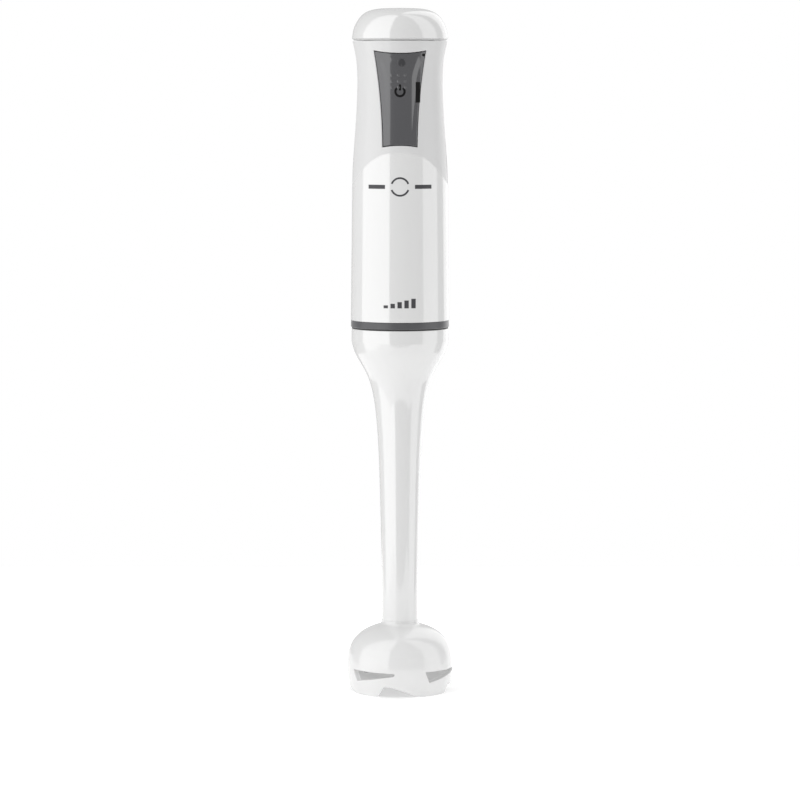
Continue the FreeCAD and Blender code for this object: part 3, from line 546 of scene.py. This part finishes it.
def front_shell():
    """Front half: a grid whose columns bend to the panel's sides and whose rows bend to its ends. Its inner
    skin keeps the outer x at the window, so that the window's sides run straight back, and settles to the
    same angle a third of the way to the seam."""
    edge = (0.08, 0.2, 0.4, 0.8)
    side = graded(0, 1, 44, [e / 30 for e in edge], [e / 30 for e in edge])
    hole = np.linspace(0, 1, 33)[1:-1]
    low = graded(0, 1, 110, [e / 96 for e in edge], [e / 96 for e in edge])
    middle = graded(0, 1, 64, [e / 53 for e in edge], [e / 53 for e in edge])[1:-1]
    high = graded(0, 1, 9, [e / 5.3 for e in edge], [e / 5.3 for e in edge])
    columns = np.concatenate([side - 2, hole * 2 - 1, side + 1])
    rows = np.concatenate([low, middle + 1, high + 2])
    u, v = np.meshgrid(columns, rows)
    across = np.clip(u, -1, 1)
    bottom, top = panel_ends(across)
    z = np.where(v < 1, RING_TOP + (bottom - RING_TOP) * v,
                 np.where(v < 2, bottom + (top - bottom) * (v - 1), top + (BODY_TOP - top) * (v - 2)))
    half = panel_half(z)
    rim = np.arcsin(half / unit_radius(z, 0.5))
    outside = np.clip(np.abs(u) - 1, 0, 1)
    angle = across * rim + np.sign(u) * (math.pi / 2 - rim) * outside
    radius = unit_radius(z, angle)
    x = radius * np.sin(angle)
    beyond_side = np.abs(x) - half
    beyond_end = np.maximum(bottom - z, z - top)
    to_panel = np.hypot(np.maximum(beyond_side, 0), np.maximum(beyond_end, 0))
    to_panel = np.where((beyond_side <= 1e-9) & (beyond_end <= 1e-9), 0, to_panel)
    to_seam = (math.pi / 2 - np.abs(angle)) * radius
    to_end = np.minimum(z - RING_TOP, BODY_TOP - z)
    drop = np.maximum.reduce([rounded_drop(to_panel, 0.45), rounded_drop(to_seam, 0.22),
                              rounded_drop(to_end, 0.15)])
    outer = np.stack([(radius - drop) * np.sin(angle), -(radius - drop) * np.cos(angle), z], -1)
    depth = radius - WALL
    settle = np.clip(3 * outside, 0, 1)
    inside_x = x + (depth * np.sin(angle) - x) * settle
    inner = np.stack([inside_x, -np.sqrt(np.maximum(depth ** 2 - inside_x ** 2, 0)), z], -1)
    keep = beyond_opening(np.abs(u[:-1, :-1] + u[:-1, 1:]) / 2, v)
    points, faces = shell(outer, inner, keep)
    build("front_shell", points, faces, "motor_unit", BODY, ["front_housing"])


def pad_half(z):
    """Half width of the panel's raised middle: straight below, wider towards the top."""
    return 6.4 + 5.2 * np.clip((z - PANEL_TOP + 16) / 15, 0, 1) ** 1.6


def pad_height(z):
    """How far the middle stands proud: it grows slowly from the lower end and ends in a short ramp."""
    return 1.5 * ease((z - PANEL_LOW - 2) / 40) * (1 - ease((z - PANEL_TOP + 7.5) / 4.5))


def panel_radius(x, z):
    """Radius of the smoked cover: just under the housing's surface, plus the raised middle, whose sides
    slope down at 30 degrees."""
    angle = np.arcsin(np.clip(x / unit_radius(z, 0.0), -1, 1))
    side = (np.abs(x) - pad_half(z)) * math.tan(math.radians(30))
    proud = soft_min(pad_height(z) - side, pad_height(z), 0.05)
    return unit_radius(z, angle) - 0.12 + np.maximum(proud, 0)


def on_panel(x, z, lift=0.0):
    """Point on the smoked cover at x and z, raised by `lift`."""
    radius = panel_radius(x, z) + lift
    return np.stack([x + 0 * z, -np.sqrt(radius ** 2 - x ** 2), z + 0 * x], -1)


def smoked_cover():
    """The cover of the switch panel: rounded edges round a grid bent to the panel's sides and ends."""
    edge = (0.08, 0.2, 0.4, 0.7)
    across = graded(-1, 1, 81, [e / 12 for e in edge], [e / 12 for e in edge])
    up = graded(0, 1, 160, [e / 52 for e in edge], [e / 52 for e in edge])
    s, t = np.meshgrid(across, up)
    bottom, top = panel_ends(s, -PANEL_GAP)
    z = bottom + (top - bottom) * t
    x = s * panel_half(z, -PANEL_GAP)
    to_edge = np.minimum((1 - np.abs(s)) * panel_half(z), np.minimum(z - bottom, top - z))
    outer = on_panel(x, z, -rounded_drop(to_edge, 0.55))
    radius = unit_radius(z, 0.0) - WALL
    inner = np.stack([x, -np.sqrt(radius ** 2 - x ** 2), z], -1)
    points, faces = shell(outer, inner)
    build("smoked_cover", points, faces, "switch_panel", SMOKED, ["panel_window"])


# ------------------------------------------------------------ top cap
def cap():
    """Domed cap: a short skirt, sides that lean in, a rounded shoulder and an almost flat crown."""
    top = [(26.55, SEAM + 0.9), (25.75, TOTAL - 12.0), (23.75, TOTAL - 7.4), (20.05, TOTAL - 3.1),
           (14.65, TOTAL - 0.85), (8.15, TOTAL - 0.15), (0, TOTAL)]
    dome = spline_path(top, 90)
    dome[:, 1] = np.minimum(dome[:, 1], TOTAL)
    inside = spline_path([(r * 0.9, z - 2.4) for r, z in reversed(top[1:])], 40)
    inside[0, 0] = dome[-1, 0] = 0
    plug_radius = WAIST - 2.9
    skirt = outline((plug_radius - 1.8, SEAM + 2.6), (plug_radius - 1.8, BODY_TOP - 3.4),
                    (plug_radius, BODY_TOP - 3.4), (plug_radius, SEAM), (CROWN + 0.25, SEAM, 0.15))
    points, faces = turned_profile(np.concatenate([inside, skirt, dome]), 256)
    build("cap_dome", points, faces, "motor_unit", WHITE, ["top_cap"])


# ------------------------------------------------------------ foot
def foot():
    """Slim tube with a gentle taper that flares into a funnel and a short straight shoulder."""
    top = FOOT_TOP
    r0 = 10.0
    rs = 26.9
    z = np.concatenate([np.linspace(33.4, top - 55, 90), np.linspace(top - 54, top - 7.0, 120)])
    curve = spline([(50, r0), (73, r0 + 0.28), (96, r0 + 0.8), (129.6, r0 + 1.75), (top - 51.4, r0 + 3.1),
                    (top - 34.8, r0 + 5.5), (top - 23.7, rs - 7.5), (top - 18.1, rs - 4.3),
                    (top - 12.6, rs - 1.5), (top - 7.0, rs)])
    r = np.where(z < 50, r0, curve(z))
    side = np.stack([r, z], -1)
    lip = outline((rs + 0.08, top, 0.35), (24.25, top), (24.25, top - 8))
    bore = np.stack([curve(z) - 3.2, z], -1)[::-1]
    bore = bore[bore[:, 1] < top - 12]
    bore[:, 0] = np.maximum(bore[:, 0], 7.4)
    points, faces = turned_profile(np.concatenate([side, lip, bore]), 224)
    build("foot_stem", points, faces, "foot", WHITE, ["foot_tube"])


# ------------------------------------------------------------ bell
BELL_R = 29.4
BELL_WALL = 2.2
NECK_TOP = 39.6
CEILING = 22.0
RIM_R = 27.6
SLOT_LEFT = -61.5
SLOT_RIGHT = -6.0
bell_wall_curve = spline([(-6, RIM_R - 0.7), (0, RIM_R), (8, RIM_R + 1.25), (15.0, BELL_R),
                          (CEILING, BELL_R - 0.8)])


def rim_height(angle):
    """Z of the guard's rim: flat feet, and between them a dip that rises steeply on its left and comes
    down slowly on its right.  `angle` is in degrees from the front and repeats every 90."""
    phase = (angle + 28) % 90
    rise = ease(phase / 11)
    fall = 1 - ease((phase - 12) / 46)
    return 5.7 * rise * fall


def slot_edges(share):
    """Lower and upper z of a flow slot along its length, from its tall left end (0) to its tip (1)."""
    return 7.1 + 4.9 * share, 14.0 - 0.4 * share


def guard_wall(u, v, chamfer, inset):
    """Radius, angle in degrees and z of a quarter of the guard's wall, `inset` in from its outside.

    u runs along a slot from 0 to 1, and on to the next slot from 1 to 2.  v runs from the rim to the
    slot's lower edge, on to its upper edge and on to the ceiling, in steps of 1.  A slot's ends lean, and
    the inner grid's are moved in by `chamfer`.
    """
    across = np.clip(v - 1, 0, 1)
    tip = 1 - np.sqrt(np.maximum(1 - (2 * across - 1) ** 2, 0))
    left = SLOT_LEFT + chamfer * 2.0 + 6.0 * (1 - across)
    right = SLOT_RIGHT - chamfer * 1.2 - 2.2 * tip
    angle = np.where(u <= 1, left + (right - left) * u, right + (left + 90 - right) * (u - 1))
    share = np.clip((angle - SLOT_LEFT) / (SLOT_RIGHT - SLOT_LEFT), 0, 1)
    low, high = slot_edges(share)
    low = low + chamfer * (1.2 - 0.6 * share)
    high = high - chamfer * 0.4
    past = ease(u - 1)
    next_low, next_high = slot_edges(0.0)
    low = low * (1 - past) + next_low * past
    high = high * (1 - past) + next_high * past
    rim = rim_height(angle)
    z = np.where(v < 1, rim + (low - rim) * v,
                 np.where(v < 2, low + (high - low) * (v - 1), high + (CEILING - high) * (v - 2)))
    drop = rounded_drop(z - rim, 0.35)
    return bell_wall_curve(z) - inset + (drop if inset else -drop), angle, z


def carried_on(wall, path):
    """All four quarters of a wall, carried on over the rest of its outline of (radius, z) points."""
    radius, angle, z = wall
    quarters = [(radius, np.radians(angle + 90 * k), z) for k in range(4)]
    radius, angle, z = [np.concatenate(parts, 1) for parts in zip(*quarters)]
    rest = path[1:]
    columns = angle.shape[1]
    radius = np.concatenate([radius, np.repeat(rest[:, :1], columns, 1)])
    z = np.concatenate([z, np.repeat(rest[:, 1:], columns, 1)])
    angle = np.concatenate([angle, np.repeat(angle[-1:], len(rest), 0)])
    return np.stack([radius * np.sin(angle), -radius * np.cos(angle), z], -1)


def bell():
    """Bell-shaped guard: one grid up the outside and one up the inside, open at four wedge-shaped slots
    whose mouths are chamfered, with the hub and the tube's socket turned in the same skin."""
    quarter = np.concatenate([np.linspace(0, 1, 49), 1 + np.linspace(0, 1, 32)[1:-1]])
    low = graded(0, 1, 9, [0.02, 0.06], [0.03, 0.1])
    middle = np.linspace(0, 1, 13)[1:-1]
    high = np.linspace(0, 1, 12)
    u, v = np.meshgrid(quarter, np.concatenate([low, middle + 1, high + 2]))
    dome = spline_path([(BELL_R - 0.8, CEILING), (BELL_R - 2.4, 26.5), (BELL_R - 4.9, 30.0),
                        (BELL_R - 8.4, 33.0), (BELL_R - 12.7, 35.3), (12.6, 36.8)], 44)
    neck = spline_path([(12.6, 36.8), (11.6, 37.15), (10.7, 37.7), (10.2, 38.5), (10.08, NECK_TOP)], 14)
    inner_r = BELL_R - BELL_WALL
    roof = spline_path([(inner_r - 0.8, CEILING), (inner_r - 2.9, 26.2), (inner_r - 6.4, 29.8),
                        (inner_r - 11.0, 32.3), (inner_r - 14.2, 33.6)], 24)
    hub = outline((12.2, 33.6, 0.5), (9.5, 19.5, 0.6), (6.1, 19.5), (6.1, 24.9), (5.6, 24.9), (5.6, 33.2),
                  (10.03, 33.2), (10.03, NECK_TOP))
    outer = carried_on(guard_wall(u, v, 0.0, 0.0), np.concatenate([dome, neck[1:]]))
    inner = carried_on(guard_wall(u, v, 0.7, BELL_WALL), np.concatenate([roof, hub]))
    cells = beyond_opening((u[:-1, :-1] + u[:-1, 1:]) / 2, v)
    cells = np.tile(np.pad(cells, ((0, 0), (0, 1)), constant_values=True), (1, 4))
    skins = []
    total = 0
    for grid in (outer, inner):
        rows, columns = grid.shape[:2]
        index = total + np.arange(rows * columns).reshape(rows, columns)
        keep = np.ones((rows - 1, columns), bool)
        keep[:len(cells)] = cells
        skins.append(grid_faces(np.hstack([index, index[:, :1]]), keep))
        total += index.size
    start, end = open_edges(skins[0])
    in_wall = np.maximum(start, end) < u.shape[0] * columns
    start, end = start[in_wall], end[in_wall]
    beyond = outer.shape[0] * columns
    walls = np.stack([end, start, start + beyond, end + beyond], -1)
    points = np.concatenate([outer.reshape(-1, 3), inner.reshape(-1, 3)])
    build("blade_guard_bell", points, [skins[0], skins[1][:, ::-1], walls], "foot", BELL,
          ["bell_guard"])


# ------------------------------------------------------------ marks
def decal(name, x, z, surface, body, slot, material, lift=0.05):
    """Thin raised patch on a curved surface, from grids of x and z."""
    outer = surface(x, z, lift)
    inner = surface(x, z, -0.25)
    points, faces = shell(outer, inner)
    return build(name, points, faces, body, material)


def ring_patch(name, centre, inner, outer, start, end, *where):
    """Part of a flat ring laid on a surface, from angle start to end in degrees, anticlockwise from +X."""
    angle = np.radians(np.linspace(start, end, 48))
    radius = np.linspace(inner, outer, 4)
    a, r = np.meshgrid(angle, radius)
    a, r = a[:, ::-1], r
    decal(name, centre[0] + r * np.cos(a), centre[1] + r * np.sin(a), *where)


def bar_patch(name, left, right, low, high, *where):
    """Straight-sided patch laid on a surface, from left to right and low to high."""
    x, z = np.meshgrid(np.linspace(left, right, 12), np.linspace(low, high, 8))
    decal(name, x, z, *where)


def marks():
    """Plain marks: a rotor badge between two bars, and five rising bars near the joint."""
    where = (on_unit, "motor_unit", "ring_grey", INK)
    z = CREASE_Z - 0.5
    ring_patch("badge_ring_left", (0, z), 4.3, 5.3, 20, 160, *where)
    ring_patch("badge_ring_right", (0, z), 4.3, 5.3, 200, 340, *where)
    bar_patch("badge_bar_left", -17.2, -8.2, z - 1.1, z + 1.1, *where)
    bar_patch("badge_bar_right", 8.2, 17.2, z - 1.1, z + 1.1, *where)
    for k in range(5):
        left = -9.0 + 3.8 * k
        top = RING_TOP + 9.6 + 0.9 * k
        bar_patch("power_bar_%d" % (k + 1), left, left + 2.4, RING_TOP + 8.0, top, *where)
    panel = (on_panel, "switch_panel", "panel_carrier", BLACK)
    icon = (0.0, PANEL_TOP - 22.4)
    ring_patch("power_icon_ring", icon, 1.9, 3.1, 130, 410, *panel)
    bar_patch("power_icon_bar", -0.6, 0.6, icon[1] + 0.6, icon[1] + 3.9, *panel)
    ring_patch("corner_dot", (12.9, PANEL_TOP - 2.5), 0.05, 0.8, 0, 359.9, *panel)
    # black bar laid on the cover's right rim, to the right of the power icon
    bar_patch("side_dark_bar", 8.6, 11.0, PANEL_TOP - 28.4, PANEL_TOP - 17.2, *panel)


def button(name, centre_x, centre_z, size, rise, material):
    """Low round dome on the panel: it rises by the cosine of the angle whose sine is the distance out."""
    lean = np.linspace(math.pi / 2, 0.02, 9)
    turn = np.linspace(0, 2 * math.pi, 37)
    t, a = np.meshgrid(lean, turn, indexing="ij")
    x = centre_x + size * np.sin(t) * np.sin(a)
    z = centre_z - size * np.sin(t) * np.cos(a)
    points, faces = shell(on_panel(x, z, rise * np.cos(t)), on_panel(x, z, -0.2))
    build(name, points, faces, "switch_panel", material)


def buttons():
    """The indicator's lens, and nine bumps that the finger finds on the panel."""
    button("indicator_lens", 0.8, PANEL_TOP - 6.8, 2.3, 0.35, LENS)
    for row in range(3):
        for column in range(3):
            button("grip_bump_%d%d" % (row + 1, column + 1), -4.7 + 3.75 * column,
                   PANEL_TOP - 13.5 - 3.33 * row, 0.8, 0.4, SMOKED)


front_shell()
smoked_cover()
cap()
foot()
bell()
marks()
buttons()

dress_inner_pieces()


# ------------------------------------------------------------ stage, light and camera
def stage():
    """Plain white table top under the blender."""
    mesh = bpy.data.meshes.new("floor")
    corners = [(-0.34, -0.36, 0), (0.34, -0.36, 0), (0.34, 0.5, 0), (-0.34, 0.5, 0)]
    mesh.from_pydata(corners, [], [(0, 1, 2, 3)])
    finish = Finish("floor_white", base_color=(0.9, 0.9, 0.9), roughness=0.3, specular_ior_level=0.3,
                    emission_color=(1, 1, 1), emission_strength=0.3)
    mesh.materials.append(finish.material)
    floor = bpy.data.objects.new("floor", mesh)
    bpy.context.collection.objects.link(floor)


AMBIENT = 0.63


class Sky(Finish):
    """The studio round the blender: soft light boxes told apart by their azimuth, as one world shader."""

    def __init__(self):
        world = bpy.data.worlds.new("studio")
        bpy.context.scene.world = world
        world.use_nodes = True
        self.tree = world.node_tree
        self.place = self.node("ShaderNodeTexCoord").outputs["Generated"]

    def between(self, value, low, high, soft):
        return self.step(value, low - soft, low + soft) * (1 - self.step(value, high - soft, high + soft))


def studio():
    """Radiance round the blender; azimuth 0 is the camera's side and grows to the right, in degrees."""
    sky = Sky()
    x, y, z = sky.axes()
    azimuth = x.apply("ARCTAN2", -1.0 * y) * (180 / math.pi)
    height = z.apply("ARCSINE") * (180 / math.pi)
    tall = sky.between(height, -50, 84, 3)
    light = sky.between(azimuth, -101, -25, 0.7) * (azimuth * 0.004 + 1.2) * tall
    light = light + sky.between(azimuth, 57, 101, 0.7) * tall * 0.64
    light = light + sky.between(azimuth, 127, 168, 1.0) * tall * 0.7
    light = light + AMBIENT
    ground = sky.tree.nodes["Background"]
    ground.inputs["Color"].default_value = (1, 1, 1, 1)
    plug(sky.tree, light, ground.inputs["Strength"])
    seen = sky.node("ShaderNodeBackground", Color=(1, 1, 1, 1), Strength=1.0)
    path = sky.node("ShaderNodeLightPath")
    mix = sky.node("ShaderNodeMixShader", Fac=path.outputs["Is Camera Ray"])
    sky.tree.links.new(ground.outputs[0], mix.inputs[1])
    sky.tree.links.new(seen.outputs[0], mix.inputs[2])
    sky.tree.links.new(mix.outputs[0], sky.tree.nodes["World Output"].inputs[0])


def camera():
    """Eye 334 mm up and 1917 mm in front, tilted down so that the whole height fills the frame."""
    data = bpy.data.cameras.new("camera")
    data.sensor_width = 36
    data.lens = 155.5
    data.clip_start = 0.05
    holder = bpy.data.objects.new("camera", data)
    eye = np.array([0, -1.917, 0.334])
    aim = np.array([0, 0, 0.163])
    down = math.atan2(eye[2] - aim[2], aim[1] - eye[1])
    holder.location = eye
    holder.rotation_euler = (math.pi / 2 - down, 0, 0)
    bpy.context.collection.objects.link(holder)
    bpy.context.scene.camera = holder


stage()
studio()
camera()
bpy.context.scene.view_settings.view_transform = "Standard"
